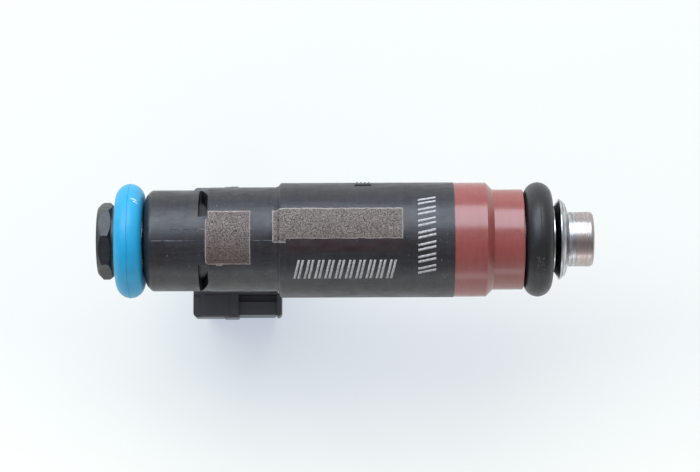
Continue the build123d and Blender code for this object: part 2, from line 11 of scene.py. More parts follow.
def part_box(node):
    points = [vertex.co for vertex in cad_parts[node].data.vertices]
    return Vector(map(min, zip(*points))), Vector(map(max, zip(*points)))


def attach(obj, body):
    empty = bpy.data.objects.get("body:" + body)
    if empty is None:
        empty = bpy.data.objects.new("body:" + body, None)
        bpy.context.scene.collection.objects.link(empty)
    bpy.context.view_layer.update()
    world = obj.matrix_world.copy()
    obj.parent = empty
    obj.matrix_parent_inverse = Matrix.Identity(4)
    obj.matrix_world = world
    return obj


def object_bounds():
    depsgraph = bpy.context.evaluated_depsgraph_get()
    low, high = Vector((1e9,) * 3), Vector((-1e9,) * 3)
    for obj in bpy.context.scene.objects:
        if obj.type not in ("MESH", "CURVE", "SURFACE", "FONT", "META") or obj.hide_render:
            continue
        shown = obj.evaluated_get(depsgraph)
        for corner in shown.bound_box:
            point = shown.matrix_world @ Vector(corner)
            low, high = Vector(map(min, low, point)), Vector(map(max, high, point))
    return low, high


# The looks of a top-feed fuel injector, lying on a pale floor under soft studio light.
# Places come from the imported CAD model. Lengths are metres, and MM turns millimetres into them.
# "Around" is an angle in degrees about the injector's axis, from the side that the clip slots face,
# positive towards +Y. "Along" is a place on the axis in millimetres, +X towards the nozzle.
MM = 0.001

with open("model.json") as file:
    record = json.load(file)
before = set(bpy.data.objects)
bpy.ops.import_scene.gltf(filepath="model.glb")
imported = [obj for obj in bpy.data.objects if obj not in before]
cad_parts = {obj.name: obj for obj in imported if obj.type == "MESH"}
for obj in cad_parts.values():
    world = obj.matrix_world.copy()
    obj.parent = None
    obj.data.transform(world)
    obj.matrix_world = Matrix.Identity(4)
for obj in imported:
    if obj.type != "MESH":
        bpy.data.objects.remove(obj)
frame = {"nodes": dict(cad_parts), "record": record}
cad_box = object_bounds()
nodes = frame["nodes"]
mounts = {mount["name"]: mount for mount in frame["record"]["mounts"]}

BODY = "injector_body"
SLEEVE_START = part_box("lower_sleeve")[0].x / MM
TIP_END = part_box("valve_body")[1].x / MM
NECK_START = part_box("overmold")[0].x / MM
SLOT_MIDDLE = mounts["clip_slots"]["pos_m"][0] / MM
FACING = Vector(mounts["clip_slots"]["axis"]).normalized()
CLOCKING = math.atan2(-FACING.y, FACING.z)
BARREL_MIDDLE = mounts["barrel"]["pos_m"][0] / MM
BARREL_RADIUS = mounts["barrel"]["dims"]["r_mm"]
BARREL_ROUNDING = 0.3
BARREL_START = BARREL_MIDDLE - mounts["barrel"]["dims"]["length_mm"] / 2 + BARREL_ROUNDING
SADDLE_TO_BARREL = 1.4
SADDLE_END = BARREL_START - SADDLE_TO_BARREL
TIP_RADIUS = mounts["nozzle_tip"]["dims"]["r_mm"]


# ---------------------------------------------------------------- shading helpers
class Shader:
    """One material's node tree, with a short call for each kind of node that it uses."""

    def __init__(self, name, **settings):
        self.material = bpy.data.materials.new(name)
        self.material.use_nodes = True
        self.tree = self.material.node_tree
        self.surface = self.tree.nodes["Principled BSDF"]
        for socket, value in settings.items():
            self.surface.inputs[socket.replace("_", " ")].default_value = value
        self.place = self.add("ShaderNodeTexCoord").outputs["Object"]
        self.last_bump = None

    def add(self, kind, **properties):
        node = self.tree.nodes.new(kind)
        for name, value in properties.items():
            setattr(node, name, value)
        return node

    def feed(self, socket, value):
        """Links an output, or sets a plain value."""
        if isinstance(value, bpy.types.NodeSocket):
            self.tree.links.new(value, socket)
        else:
            socket.default_value = value

    def millimetres(self, stretch=(1, 1, 1)):
        """The place in millimetres, with each axis multiplied by its stretch."""
        mapping = self.add("ShaderNodeMapping")
        mapping.inputs["Scale"].default_value = [k / MM for k in stretch]
        self.feed(mapping.inputs["Vector"], self.place)
        return mapping.outputs["Vector"]

    def noise(self, per_mm, detail=2.0, stretch=(1, 1, 1), roughness=0.5):
        """Noise with this many features a millimetre, from 0 to 1."""
        texture = self.add("ShaderNodeTexNoise")
        self.feed(texture.inputs["Vector"], self.millimetres(stretch))
        texture.inputs["Scale"].default_value = per_mm
        texture.inputs["Detail"].default_value = detail
        texture.inputs["Roughness"].default_value = roughness
        return texture.outputs["Fac"]

    def dots(self, per_mm, size):
        """Scattered round dots: 1 at a dot's middle, 0 away from it. size is in cells."""
        texture = self.add("ShaderNodeTexVoronoi")
        self.feed(texture.inputs["Vector"], self.millimetres())
        texture.inputs["Scale"].default_value = per_mm
        return self.ramp(texture.outputs["Distance"], size, 0.0)

    def ramp(self, value, start, end, low=0.0, high=1.0):
        """value from start to end becomes low to high, and stays inside them."""
        node = self.add("ShaderNodeMapRange", clamp=True)
        self.feed(node.inputs["Value"], value)
        node.inputs["From Min"].default_value = start
        node.inputs["From Max"].default_value = end
        node.inputs["To Min"].default_value = low
        node.inputs["To Max"].default_value = high
        return node.outputs["Result"]

    def calc(self, operation, first, second=0.0):
        node = self.add("ShaderNodeMath", operation=operation)
        self.feed(node.inputs[0], first)
        self.feed(node.inputs[1], second)
        return node.outputs["Value"]

    def mix(self, amount, first, second):
        """Colour first where amount is 0, second where it is 1."""
        node = self.add("ShaderNodeMix", data_type="RGBA")
        self.feed(node.inputs["Factor"], amount)
        for socket, colour in (("A", first), ("B", second)):
            target = [s for s in node.inputs if s.name == socket and s.type == "RGBA"][0]
            self.feed(target, colour)
        return [s for s in node.outputs if s.type == "RGBA"][0]

    def axes(self):
        """The place's three numbers in millimetres."""
        split = self.add("ShaderNodeSeparateXYZ")
        self.feed(split.inputs["Vector"], self.millimetres())
        return split.outputs["X"], split.outputs["Y"], split.outputs["Z"]

    def around(self):
        """The angle about the axis, in degrees, 0 where the clip slots face."""
        _, y, z = self.axes()
        angle = self.calc("ARCTAN2", y, z)
        return self.calc("ADD", self.calc("MULTIPLY", angle, math.degrees(1)), math.degrees(CLOCKING))

    def from_axis(self):
        """The distance from the axis in millimetres."""
        _, y, z = self.axes()
        squares = self.calc("ADD", self.calc("MULTIPLY", y, y), self.calc("MULTIPLY", z, z))
        return self.calc("SQRT", squares)

    def between(self, value, low, high, soft):
        """1 inside low to high, falling to 0 over soft on either side."""
        rise = self.ramp(value, low - soft, low)
        fall = self.ramp(value, high, high + soft, 1.0, 0.0)
        return self.calc("MULTIPLY", rise, fall)

    def upward(self):
        """1 on faces that look up, 0 on upright ones."""
        split = self.add("ShaderNodeSeparateXYZ")
        self.feed(split.inputs["Vector"], self.add("ShaderNodeNewGeometry").outputs["Normal"])
        return self.ramp(split.outputs["Z"], 0.6, 0.9)

    def attribute(self, name):
        return self.add("ShaderNodeAttribute", attribute_name=name).outputs["Fac"]

    def bump(self, height, depth_mm):
        """Adds relief this deep, on top of any added before."""
        node = self.add("ShaderNodeBump")
        node.inputs["Distance"].default_value = depth_mm * MM
        self.feed(node.inputs["Height"], height)
        if self.last_bump is not None:
            self.feed(node.inputs["Normal"], self.last_bump)
        self.last_bump = node.outputs["Normal"]
        self.feed(self.surface.inputs["Normal"], self.last_bump)

    def colour(self, value):
        self.feed(self.surface.inputs["Base Color"], value)

    def rough(self, value):
        self.feed(self.surface.inputs["Roughness"], value)


# ---------------------------------------------------------------- materials
PLASTIC_DARK = (0.0080, 0.0082, 0.0098, 1)
PLASTIC_PALE = (0.0210, 0.0220, 0.0265, 1)
PLASTIC_WARM = (0.0260, 0.0175, 0.0165, 1)
PLASTIC_GRAIN = (0.0700, 0.0700, 0.0780, 1)
PLASTIC_SPECK = (0.30, 0.29, 0.30, 1)
# painted fill light: a paler grey for the connector, which lies in the body's shade
PLASTIC_PAINTED_FILL = (0.042, 0.043, 0.047, 1)
# painted light: paler still on the connector's faces that look up, in the body's shade
PLASTIC_PAINTED_LIGHT_UP = (0.150, 0.155, 0.168, 1)
CONNECTOR_FROM_AXIS = (8.5, 11.0)
SMEAR_ALONG = (BARREL_START + 0.25, BARREL_START + 14.55)
SMEAR_AROUND = (-9.8, 2.0)
SMEAR_COLOUR = (0.022, 0.0085, 0.0100, 1)


def plastic_base(shader):
    """The colour of glass-filled black plastic: streaks both ways, warm clouds and pale specks."""
    flow = shader.noise(2.2, 3.0, (0.12, 1, 1))
    rings = shader.noise(1.4, 3.0, (1, 0.2, 0.2))
    streaks = shader.calc("MULTIPLY", shader.calc("ADD", flow, rings), 0.5)
    grey = shader.mix(shader.ramp(streaks, 0.38, 0.64), PLASTIC_DARK, PLASTIC_PALE)
    cloud = shader.ramp(shader.noise(0.35, 4.0), 0.42, 0.75)
    base = shader.mix(shader.calc("MULTIPLY", cloud, 0.45), grey, PLASTIC_WARM)
    grain = shader.ramp(shader.noise(4.5, 2.0), 0.55, 0.8)
    base = shader.mix(shader.calc("MULTIPLY", grain, 0.22), base, PLASTIC_GRAIN)
    specks = shader.calc("MULTIPLY", shader.dots(1.5, 0.11), 0.5)
    return shader.mix(specks, base, PLASTIC_SPECK)


def plastic_finish(shader):
    """Moulded grain, and a sheen broken up into soft patches."""
    patches = shader.noise(0.9, 5.0, (0.5, 1, 1), 0.6)
    shader.rough(shader.ramp(patches, 0.3, 0.7, 0.27, 0.50))
    shader.bump(shader.noise(4.5, 2.0), 0.012)
    shader.bump(shader.noise(1.6, 2.0, (0.3, 1, 1)), 0.012)
    shader.bump(shader.noise(2.0, 2.0, (1, 0.15, 0.15)), 0.010)
    shader.bump(shader.noise(0.5, 1.0), 0.02)


def black_plastic(name):
    shader = Shader(name, Specular_IOR_Level=0.6)
    shader.colour(plastic_base(shader))
    plastic_finish(shader)
    return shader


def body_plastic():
    """The body's plastic: a brown smear beside the long patch, and painted fill light on the connector,
    which the body shades: a paler grey there, paler still on the faces that look up."""
    shader = Shader("body_plastic", Specular_IOR_Level=0.6)
    base = plastic_base(shader)
    # painted fill light: the connector, this far from the axis, is made paler where the body shades it
    painted_fill = shader.calc("MULTIPLY", shader.ramp(shader.from_axis(), *CONNECTOR_FROM_AXIS), 0.8)
    base = shader.mix(painted_fill, base, PLASTIC_PAINTED_FILL)
    # painted light: the connector's faces that look up are made paler still
    base = shader.mix(shader.calc("MULTIPLY", painted_fill, shader.upward()), base, PLASTIC_PAINTED_LIGHT_UP)
    along = shader.axes()[0]
    blotch = shader.ramp(shader.noise(1.5, 4.0), 0.28, 0.5)
    smear = shader.calc(
        "MULTIPLY",
        shader.between(along, *SMEAR_ALONG, 0.8),
        shader.between(shader.around(), *SMEAR_AROUND, 3.0),
    )
    shader.colour(shader.mix(shader.calc("MULTIPLY", smear, blotch), base, SMEAR_COLOUR))
    plastic_finish(shader)
    return shader


def red_plastic():
    """Red-brown moulded plastic with a faint turned look and small pale flecks."""
    shader = Shader("red_plastic", Specular_IOR_Level=0.85)
    rings = shader.noise(1.5, 3.0, (3.0, 0.25, 0.25))
    base = shader.mix(rings, (0.235, 0.045, 0.038, 1), (0.295, 0.064, 0.054, 1))
    cloud = shader.ramp(shader.noise(0.5, 3.0), 0.35, 0.7)
    base = shader.mix(shader.calc("MULTIPLY", cloud, 0.4), base, (0.31, 0.080, 0.068, 1))
    specks = shader.dots(1.2, 0.10)
    shader.colour(shader.mix(shader.calc("MULTIPLY", specks, 0.4), base, (0.60, 0.36, 0.32, 1)))
    shader.rough(shader.ramp(shader.noise(1.0, 3.0), 0.3, 0.7, 0.17, 0.27))
    shader.bump(shader.noise(4.0, 2.0), 0.004)
    shader.bump(rings, 0.005)
    return shader


def etched_patch():
    """Plastic burnt rough by a laser: brown-grey grains in a pale crusty border, with painted shade
    darkening the side turned away from the window.
    """
    shader = Shader("etched_patch", Specular_IOR_Level=0.5)
    grains = shader.noise(6.5, 3.0, (1, 1, 1), 0.7)
    base = shader.mix(shader.ramp(grains, 0.40, 0.62), (0.020, 0.012, 0.009, 1), (0.300, 0.240, 0.208, 1))
    pits = shader.ramp(shader.noise(1.1, 2.0), 0.4, 0.7)
    base = shader.mix(shader.calc("MULTIPLY", pits, 0.35), base, (0.080, 0.058, 0.050, 1))
    # painted shade: the patch darkens towards the side turned away from the window
    painted_shade_side = shader.ramp(shader.around(), 12.0, -24.0, 0.0, 0.62)
    base = shader.mix(painted_shade_side, base, (0.060, 0.036, 0.026, 1))
    crust = shader.ramp(shader.noise(2.8, 2.0), 0.25, 0.55, 0.45, 1.0)
    border = shader.calc("MULTIPLY", shader.attribute("border"), crust)
    shader.colour(shader.mix(border, base, (0.52, 0.45, 0.41, 1)))
    shader.rough(0.62)
    shader.bump(grains, 0.05)
    return shader


def pale_etching():
    """The pale, slightly raised surface that the laser leaves on a thin stroke."""
    shader = Shader("pale_etching", Specular_IOR_Level=0.3)
    grains = shader.noise(4.0, 3.0)
    shader.colour(shader.mix(shader.ramp(grains, 0.35, 0.65), (0.33, 0.315, 0.31, 1), (0.58, 0.56, 0.55, 1)))
    shader.rough(0.75)
    shader.bump(grains, 0.02)
    return shader


def mould_line():
    """The thin flash at a mould's joint, paler than the plastic because it is scuffed."""
    shader = Shader("mould_line", Specular_IOR_Level=0.5)
    scuffs = shader.ramp(shader.noise(0.9, 4.0), 0.42, 0.66)
    shader.colour(shader.mix(scuffs, PLASTIC_PALE, (0.20, 0.20, 0.21, 1)))
    shader.rough(0.42)
    shader.bump(shader.noise(4.0, 2.0), 0.01)
    return shader


def rubber(name, dark, light, speck, roughness):
    """O-ring rubber: even, slightly mottled, with dust specks."""
    shader = Shader(name, Specular_IOR_Level=0.5)
    base = shader.mix(shader.ramp(shader.noise(0.6, 3.0), 0.3, 0.7), dark, light)
    dust = shader.dots(1.3, 0.09)
    shader.colour(shader.mix(shader.calc("MULTIPLY", dust, 0.5), base, speck))
    shader.rough(shader.ramp(shader.noise(1.5, 4.0), 0.3, 0.7, roughness - 0.05, roughness + 0.08))
    shader.bump(shader.noise(2.5, 3.0), 0.006)
    return shader


def dust(name, first, second):
    """Dry grit or lint."""
    shader = Shader(name, Specular_IOR_Level=0.2)
    grains = shader.noise(5.0, 2.0)
    shader.colour(shader.mix(shader.ramp(grains, 0.4, 0.6), first, second))
    shader.rough(0.9)
    shader.bump(grains, 0.01)
    return shader


def turned_steel(name, colour=(0.66, 0.65, 0.65, 1), tint=None, roughness=0.24):
    """Steel turned on a lathe: fine rings about the axis, and a heat tint between two stations."""
    shader = Shader(name, Metallic=1.0)
    along = shader.axes()[0]
    rings = shader.add("ShaderNodeTexNoise", noise_dimensions="1D")
    shader.feed(rings.inputs["W"], along)
    rings.inputs["Scale"].default_value = 4.5
    rings.inputs["Detail"].default_value = 4.0
    rings.inputs["Roughness"].default_value = 0.7
    ring_height = rings.outputs["Fac"]
    stain = shader.noise(1.1, 4.0, (2.5, 0.6, 0.6), 0.65)
    worn = shader.calc("MULTIPLY", shader.calc("ADD", ring_height, stain), 0.5)
    dull = tuple(0.42 * k for k in colour[:3]) + (1,)
    base = shader.mix(shader.ramp(worn, 0.40, 0.58), colour, dull)
    if tint:
        low, high, tint_colour = tint
        blotch = shader.ramp(shader.noise(0.7, 3.0), 0.25, 0.7, 0.35, 1.0)
        amount = shader.calc("MULTIPLY", shader.between(along, low, high, 0.5), blotch)
        base = shader.mix(amount, base, tint_colour)
    shader.colour(base)
    shader.rough(shader.ramp(worn, 0.35, 0.65, roughness - 0.06, roughness + 0.14))
    shader.bump(ring_height, 0.014)
    return shader


def scored_metal(name, colour, roughness, metallic=1.0):
    """Plain sheet metal with small scratches."""
    shader = Shader(name, Metallic=metallic)
    streaks = shader.noise(3.0, 3.0, (0.2, 1, 1))
    dull = tuple(0.72 * k for k in colour) + (1,)
    shader.colour(shader.mix(shader.ramp(streaks, 0.3, 0.75), colour + (1,), dull))
    shader.rough(shader.ramp(shader.noise(1.5, 3.0), 0.3, 0.7, roughness - 0.06, roughness + 0.08))
    shader.bump(streaks, 0.003)
    return shader


def pale_plastic(name, colour):
    """Unfilled moulded plastic for the parts inside."""
    shader = Shader(name, Specular_IOR_Level=0.5)
    dull = tuple(0.8 * k for k in colour) + (1,)
    shader.colour(shader.mix(shader.noise(0.8, 3.0), colour + (1,), dull))
    shader.rough(shader.ramp(shader.noise(1.5, 2.0), 0.3, 0.7, 0.35, 0.5))
    shader.bump(shader.noise(4.0, 2.0), 0.004)
    return shader


def wound_copper():
    """Enamelled copper wire, wound side by side about the axis."""
    shader = Shader("wound_copper", Metallic=1.0)
    wave = shader.add("ShaderNodeTexWave", wave_type="BANDS", bands_direction="X")
    shader.feed(wave.inputs["Vector"], shader.millimetres())
    wave.inputs["Scale"].default_value = 1.6
    shader.colour(shader.mix(wave.outputs["Fac"], (0.30, 0.10, 0.035, 1), (0.72, 0.30, 0.12, 1)))
    shader.rough(shader.ramp(shader.noise(2.0), 0.3, 0.7, 0.25, 0.4))
    shader.bump(wave.outputs["Fac"], 0.08)
    return shader


def woven_screen():
    """The fine mesh of the inlet screen."""
    shader = Shader("woven_screen", Specular_IOR_Level=0.4)
    checks = shader.add("ShaderNodeTexChecker")
    shader.feed(checks.inputs["Vector"], shader.millimetres())
    checks.inputs["Scale"].default_value = 8.0
    shader.colour(shader.mix(checks.outputs["Fac"], (0.62, 0.60, 0.52, 1), (0.30, 0.29, 0.25, 1)))
    shader.rough(0.6)
    shader.bump(checks.outputs["Fac"], 0.03)
    return shader


def paint(node, shader):
    """Gives a CAD node or a piece its material, and takes any other away."""
    piece = nodes[node] if isinstance(node, str) else node
    piece.data.materials.clear()
    piece.data.materials.append(shader.material)


# ---------------------------------------------------------------- wrapped geometry
NOISE_SEED = 7  # noise_vector follows the clock until it is given a seed
SINK = 0.08  # how far a wrapped shell reaches below the surface, in millimetres
BORDER = 0.13  # width of a shell's border
STEP_REACH = (0.0, 0.4, 0.8)  # how far ahead a projected outline looks
CAST_FROM = 20  # how far from the axis rays start
WANDER_PER_MM = (1.3, 5.1)  # how quickly an outline wanders: slowly, and a fine share on top
WANDER_FINE = 0.6
GRAIN_PER_MM = 6.0
BEAD_STEPS = 240
BEAD_SIDES = 8
BEAD_WANDER_PER_TURN = 3.0
LUMP_DETAIL = 2
LUMP_THINNEST = 0.35
LUMP_FATTEST = 0.9
LUMP_FLATNESS = 0.5
LUMP_PER_MM = 9.0
LUMP_ROUGHNESS = 0.35


def towards(around):
    """The unit vector across the axis at this angle."""
    return Matrix.Rotation(CLOCKING - math.radians(around), 3, "X") @ Vector((0, 0, 1))


def surface_tree(name):
    """A CAD node's surface in the shared frame, for casting rays onto."""
    node = nodes[name]
    corners = [node.matrix_world @ vertex.co for vertex in node.data.vertices]
    return BVHTree.FromPolygons(corners, [face.vertices[:] for face in node.data.polygons])


def surface_at(tree, along, around):
    """Where the surface is, looking in towards the axis."""
    out = towards(around)
    start = Vector((along * MM, 0, 0)) + out * CAST_FROM * MM
    return tree.ray_cast(start, -out)[0]


def spread(span, share):
    return span[0] + (span[1] - span[0]) * share


def rectangle(along_span, around_span):
    """Places in a rectangle wrapped on the surface, for two shares from 0 to 1."""
    return lambda u, v: (spread(along_span, u), spread(around_span, v))


def projected(tree, start, end, bottom, top):
    """Places in an outline that is straight when seen square on: start is an along for each height
    above the axis, and bottom is a height for each along. Steps in the surface are smoothed out."""

    def place(u, v):
        height = spread((bottom(start(0.0)), top), v)
        along = spread((start(height), end), u)
        height = spread((bottom(along), top), v)
        guess = math.degrees(math.asin(height / BARREL_RADIUS))
        radii = [surface_at(tree, along + shift, guess).yz.length / MM for shift in STEP_REACH]
        return along, math.degrees(math.asin(height / max(radii)))

    return place


def add_shell(mesh, layer, tree, place, cells, rise, rag, rim, grain):
    """Adds one thin closed shell to a bmesh. rise, rag, rim and grain are in millimetres: its
    thickness, how far its outline wanders, how much its border stands up and its top's roughness."""
    columns, rows = cells
    sheets = ([], [])
    for i in range(columns + 1):
        for j in range(rows + 1):
            along, around = place(i / columns, j / rows)
            spot = surface_at(tree, along, around) / MM
            slow, fine = (noise.noise_vector(spot * rate) for rate in WANDER_PER_MM)
            wander = slow + WANDER_FINE * fine
            along += rag * wander.x
            around += math.degrees(rag * wander.y / spot.yz.length)
            point = surface_at(tree, along, around)
            out = towards(around)
            nearest = min(min(i, columns - i) * rim[1], min(j, rows - j) * rim[1])
            border = max(0.0, 1.0 - nearest / BORDER)
            height = rise + rim[0] * border + grain * noise.noise(spot * GRAIN_PER_MM)
            for sheet, offset in zip(sheets, (height, -SINK)):
                vertex = mesh.verts.new(point + out * offset * MM)
                vertex[layer] = border
                sheet.append(vertex)
    top, under = sheets
    stride = rows + 1

    def quad(sheet, i, j):
        near, far = i * stride + j, (i + 1) * stride + j
        return [sheet[near], sheet[far], sheet[far + 1], sheet[near + 1]]

    for i in range(columns):
        for j in range(rows):
            mesh.faces.new(quad(top, i, j)).smooth = True
            mesh.faces.new(quad(under, i, j)[::-1]).smooth = True
    loop = [i * stride for i in range(columns + 1)]
    loop += [columns * stride + j for j in range(1, rows + 1)]
    loop += [i * stride + rows for i in reversed(range(columns))]
    loop += [j for j in reversed(range(1, rows))]
    for here, there in zip(loop, loop[1:] + loop[:1]):
        mesh.faces.new([top[here], under[here], under[there], top[there]])


def finish_piece(name, mesh, shader):
    """Turns a bmesh into a piece that rides on the injector's body."""
    bmesh.ops.recalc_face_normals(mesh, faces=mesh.faces)
    data = bpy.data.meshes.new(name)
    mesh.to_mesh(data)
    mesh.free()
    data.materials.append(shader.material)
    piece = bpy.data.objects.new(name, data)
    bpy.context.scene.collection.objects.link(piece)
    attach(piece, BODY)
    return piece


def wrapped_piece(
    name, tree, places, shader, cell=0.12, rise=0.03, rag=0.0, rim=0.0, grain=0.0
):
    """One piece made of shells on a surface. places is a list of (place, (length, width) in mm)."""
    mesh = bmesh.new()
    layer = mesh.verts.layers.float.new("border")
    for place, size in places:
        cells = [max(2, round(side / cell)) for side in size]
        add_shell(mesh, layer, tree, place, cells, rise, rag, (rim, cell), grain)
    return finish_piece(name, mesh, shader)


def arc_length(tree, along, around_span):
    """The length in mm of an arc on the surface."""
    middle = surface_at(tree, along, sum(around_span) / 2)
    return math.radians(abs(around_span[1] - around_span[0])) * middle.yz.length / MM


def wrapped_rectangle(tree, along_span, around_span):
    """A rectangle's place and size, for wrapped_piece."""
    size = (along_span[1] - along_span[0], arc_length(tree, sum(along_span) / 2, around_span))
    return rectangle(along_span, around_span), size


def make_bead(name, station, ring_radius, bead_radius, shader, wander=0.0):
    """A thin ring about the axis, such as an O-ring's mould line. Its size is in millimetres."""
    mesh = bmesh.new()
    rings = []
    for step in range(BEAD_STEPS):
        out = towards(360 * step / BEAD_STEPS)
        drift = wander * noise.noise(out * BEAD_WANDER_PER_TURN + Vector((station, 0, 0)))
        ring = []
        for side in range(BEAD_SIDES):
            turn = 2 * math.pi * side / BEAD_SIDES
            along = station + drift + bead_radius * math.cos(turn)
            from_axis = ring_radius + bead_radius * math.sin(turn)
            ring.append(mesh.verts.new(Vector((along * MM, 0, 0)) + out * from_axis * MM))
        rings.append(ring)
    for ring, following in zip(rings, rings[1:] + rings[:1]):
        for side in range(BEAD_SIDES):
            after = (side + 1) % BEAD_SIDES
            mesh.faces.new([ring[side], ring[after], following[after], following[side]]).smooth = True
    return finish_piece(name, mesh, shader)


def make_specks(name, tree, count, along_span, around_span, size_span, shader, seed):
    """Grit and lint scattered on a surface: small lumps, each flattened onto it."""
    draw = random.Random(seed)
    mesh = bmesh.new()
    for _ in range(count):
        along, around = draw.uniform(*along_span), draw.uniform(*around_span)
        long_side = draw.uniform(*size_span) * MM
        short_side = long_side * draw.uniform(LUMP_THINNEST, LUMP_FATTEST)
        out = towards(around)
        turn = Matrix.Rotation(draw.uniform(0, math.pi), 3, out)
        sideways = turn @ Vector((1, 0, 0))
        sides = (sideways * long_side, out.cross(sideways) * short_side, out * short_side * LUMP_FLATNESS)
        basis = Matrix(sides).transposed()
        spot = Matrix.Translation(surface_at(tree, along, around)) @ basis.to_4x4()
        lump = bmesh.ops.create_icosphere(mesh, subdivisions=LUMP_DETAIL, radius=1.0, matrix=spot)
        for vertex in lump["verts"]:
            vertex.co += noise.noise_vector(vertex.co / MM * LUMP_PER_MM) * short_side * LUMP_ROUGHNESS
    return finish_piece(name, mesh, shader)


# ---------------------------------------------------------------- marks and wear on the outside
WEB_HALF_WIDTH = 2.85
SQUARE_ON_WEB = SLOT_MIDDLE + 0.35
SQUARE_AT_SLOT = SLOT_MIDDLE + 0.70
SQUARE_END = SLOT_MIDDLE + 6.0
SQUARE_FOOT, SQUARE_TOP = -2.95, 3.70
BURR_ALONG = (SLOT_MIDDLE + 1.7, SLOT_MIDDLE + 2.5)
BURR_AROUND = (-28.1, -25.6)
STRIP_START = BARREL_START - 1.48
STRIP_END = BARREL_START + 14.89
STRIP_FOOT, STRIP_TOP = 0.22, 4.02
STRIP_TAB_END = BARREL_START + 0.25
STRIP_TAB_FOOT = -0.30
STRIP_SIZE = (16.4, 3.9)


def make_patches(tree):
    """The two rough etched patches."""
    burnt = etched_patch()

    def square_start(height):
        """The square patch stops at the clip slots, and reaches onto the web between them."""
        return SQUARE_ON_WEB if abs(height) < WEB_HALF_WIDTH else SQUARE_AT_SLOT

    def strip_bottom(along):
        """The strip is a little deeper at its rail end."""
        return STRIP_TAB_FOOT if along < STRIP_TAB_END else STRIP_FOOT

    square_place = projected(tree, square_start, SQUARE_END, lambda along: SQUARE_FOOT, SQUARE_TOP)
    square = square_place, (SQUARE_END - SQUARE_ON_WEB, SQUARE_TOP - SQUARE_FOOT)
    burr = wrapped_rectangle(tree, BURR_ALONG, BURR_AROUND)
    wrapped_piece("patch_square", tree, [square, burr], burnt, rise=0.03, rag=0.045, rim=0.035, grain=0.03)
    strip_place = projected(tree, lambda height: STRIP_START, STRIP_END, strip_bottom, STRIP_TOP)
    strip = strip_place, STRIP_SIZE
    wrapped_piece("patch_long", tree, [strip], burnt, rise=0.03, rag=0.07, rim=0.03, grain=0.03)


STROKE_WIDTH = 0.30
STROKE_LEAN = 0.22
STROKES_TO_A_CELL = 2
FIRST_STROKE, STROKE_PITCH = 0.12, 0.40  # shares of a cell


def hatch_places(tree, count, start, pitch, foot, height, upright):
    """The strokes of one row of marks: every cell holds the same two leaning strokes, so the row
    spells nothing. Sizes are in mm along the row and across it. upright rows run along the axis,
    and the others run around it."""
    radius = surface_at(tree, BARREL_MIDDLE, 0).yz.length / MM
    places = []
    for index in range(count * STROKES_TO_A_CELL):
        cell, slot = divmod(index, STROKES_TO_A_CELL)
        offset = start + pitch * (cell + FIRST_STROKE + STROKE_PITCH * slot)

        def place(u, v, offset=offset):
            row = offset + STROKE_WIDTH * u + STROKE_LEAN * height * v
            across = foot + height * v
            along, around_mm = (row, across) if upright else (across, row)
            return along, math.degrees(around_mm / radius)

        places.append((place, (STROKE_WIDTH, height)))
    return places


def make_hatching(tree):
    """Two rows of plain hatching where the body is written on."""
    pale = pale_etching()
    long_row = hatch_places(tree, 10, BARREL_START + 0.95, 1.29, -5.2, 2.7, True)
    wrapped_piece("hatching_long", tree, long_row, pale, rise=0.02, rag=0.02)
    cross_row = hatch_places(tree, 7, -4.7, 1.54, SLEEVE_START - 4.63, 2.25, False)
    wrapped_piece("hatching_cross", tree, cross_row, pale, rise=0.02, rag=0.02)


JOINT_WIDTH = 0.8  # degrees
RIB_STARTS = [BARREL_MIDDLE + offset for offset in (-3.55, -3.05, -2.55, -2.05)]
RIB_WIDTH = 0.22
RIB_AROUND = (74.0, 84.0)
BAR_AROUND = (71.5, 73.5)
BAR_PAST_RIBS = 0.2


def make_mould_lines(tree):
    """The mould's joint on both sides, a line across the web, one on the saddle and a raised mark."""
    line = mould_line()
    neck = (NECK_START + 1.3, SLOT_MIDDLE - 0.7)
    saddle = (SLOT_MIDDLE + 0.9, SADDLE_END)
    barrel = (BARREL_START, SLEEVE_START - 0.2)
    joints = [
        wrapped_rectangle(tree, span, (side - JOINT_WIDTH / 2, side + JOINT_WIDTH / 2))
        for side, span in ((0, neck), (0, saddle), (180, neck), (180, barrel))
    ]
    wrapped_piece("mould_joints", tree, joints, line, cell=0.15, rise=0.015, rag=0.015)
    web = wrapped_rectangle(tree, (SLOT_MIDDLE - 4.0, SLOT_MIDDLE + 0.6), (12.6, 13.4))
    saddle = wrapped_rectangle(tree, (SLOT_MIDDLE + 3.2, SLOT_MIDDLE + 7.7), (59.3, 60.1))
    wrapped_piece("moulded_edges", tree, [web, saddle], line, cell=0.15, rise=0.02, rag=0.02)
    mark = [wrapped_rectangle(tree, (along, along + RIB_WIDTH), RIB_AROUND) for along in RIB_STARTS]
    bar_along = (RIB_STARTS[0] - BAR_PAST_RIBS, RIB_STARTS[-1] + 2 * BAR_PAST_RIBS)
    mark.append(wrapped_rectangle(tree, bar_along, BAR_AROUND))
    wrapped_piece("raised_mark", tree, mark, black_plastic("mark_plastic"), cell=0.1, rise=0.10)


FLASH_RADIUS = 0.055
FLASH_SINK = 0.02
FLASH_WANDER = 0.05
CRIMP_FROM_END = 0.79
CRIMP_RADIUS = 0.06


def ring_middle(name):
    """Where a ring's middle is along the axis, in millimetres."""
    low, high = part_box(name)
    return (low.x + high.x) / 2 / MM


